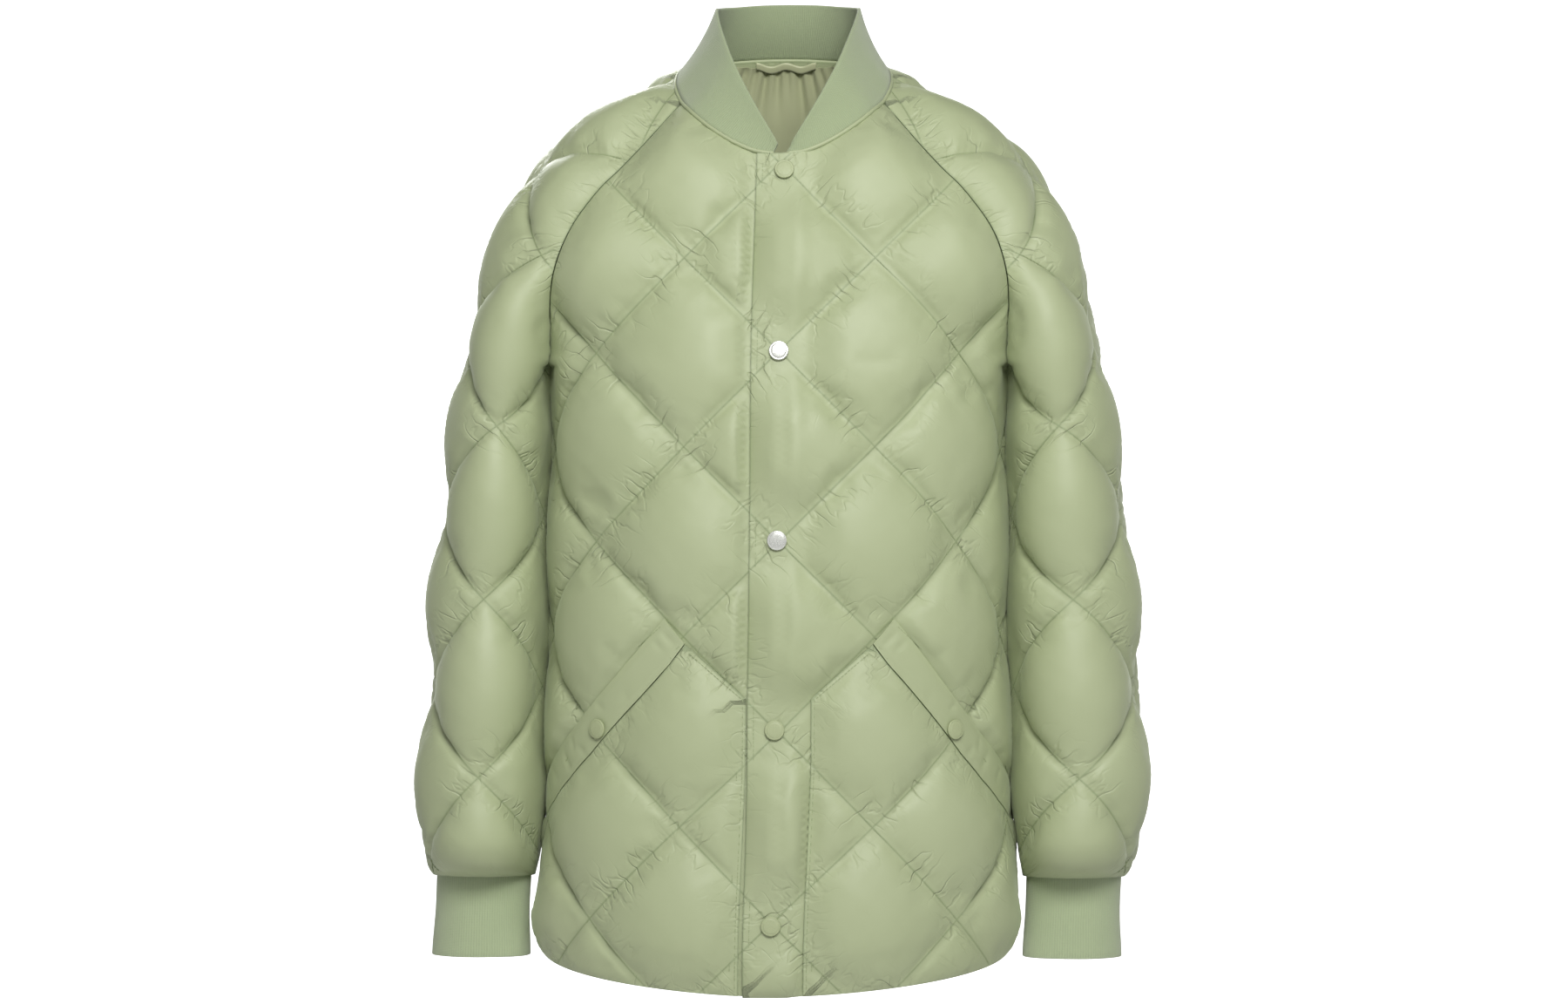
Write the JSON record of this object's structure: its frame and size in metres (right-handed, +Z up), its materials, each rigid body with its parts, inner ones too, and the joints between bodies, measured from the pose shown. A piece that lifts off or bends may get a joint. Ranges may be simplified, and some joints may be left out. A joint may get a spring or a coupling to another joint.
{
  "type": "quilted jacket",
  "caption": "Long hollow quilted jacket in worn shape: raglan sleeves, rib-knit collar and cuffs, snap front, slanted snap pockets, curved hem.",
  "frame": {"origin": "middle of the neck opening, about level with the back neck seam", "axes": "+Z up towards the collar, the front faces -Y, the wearer's left side is at +X"},
  "size_m": [0.6294, 0.3218, 0.8437],
  "materials": {
    "shell": "satin woven shell, quilted",
    "rib_knit": "matte fine rib knit",
    "lining": "smooth woven lining",
    "snap": "semi-gloss enamelled cap"
  },
  "bodies": {
    "root": {"front_left": "shell", "front_right": "shell", "back": "shell", "sleeve_front_left": "shell", "sleeve_front_right": "shell", "sleeve_back_left": "shell", "sleeve_back_right": "shell", "pocket_left": "shell", "pocket_right": "shell", "welt_left": "shell", "welt_right": "shell", "collar": "rib_knit", "cuff_left": "rib_knit", "cuff_right": "rib_knit", "neck_lining": "lining", "hanger_loop": "lining", "snap_front_1": "snap", "snap_front_2": "snap", "snap_front_3": "snap", "snap_front_4": "snap", "snap_front_5": "snap", "snap_pocket_left": "snap", "snap_pocket_right": "snap"}
  },
  "joints": []
}
